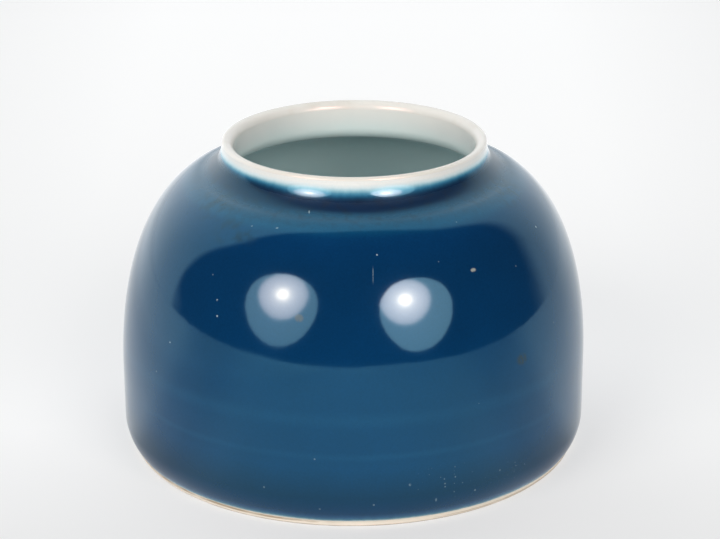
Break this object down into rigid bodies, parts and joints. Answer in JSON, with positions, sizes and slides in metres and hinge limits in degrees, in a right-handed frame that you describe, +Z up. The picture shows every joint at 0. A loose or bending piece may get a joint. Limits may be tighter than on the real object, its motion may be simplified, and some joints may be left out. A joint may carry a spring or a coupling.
{
  "type": "water pot",
  "caption": "Round porcelain water pot for a writing desk: upright wall, domed shoulder, short neck with a white lip, blue glaze outside and pale glaze inside.",
  "frame": {"origin": "centre of the foot ring, on the surface that the pot stands on", "axes": "+Z up along the axis of the pot; X and Y are alike because the pot is round"},
  "size_m": [0.11, 0.11, 0.074],
  "materials": {
    "porcelain": "bare fired porcelain, smooth and matt",
    "slip": "fired slip, matt",
    "blue_glaze": "even glossy blue glaze",
    "white_glaze": "glossy white glaze, a little cream",
    "clear_glaze": "glossy clear glaze over white clay, faintly blue-green"
  },
  "bodies": {
    "root": {"lower_section": "porcelain", "upper_section": "porcelain", "luting_slip": "slip", "outer_glaze": "blue_glaze", "lip_glaze": "white_glaze", "inner_glaze": "clear_glaze", "base_glaze": "clear_glaze"}
  },
  "joints": []
}
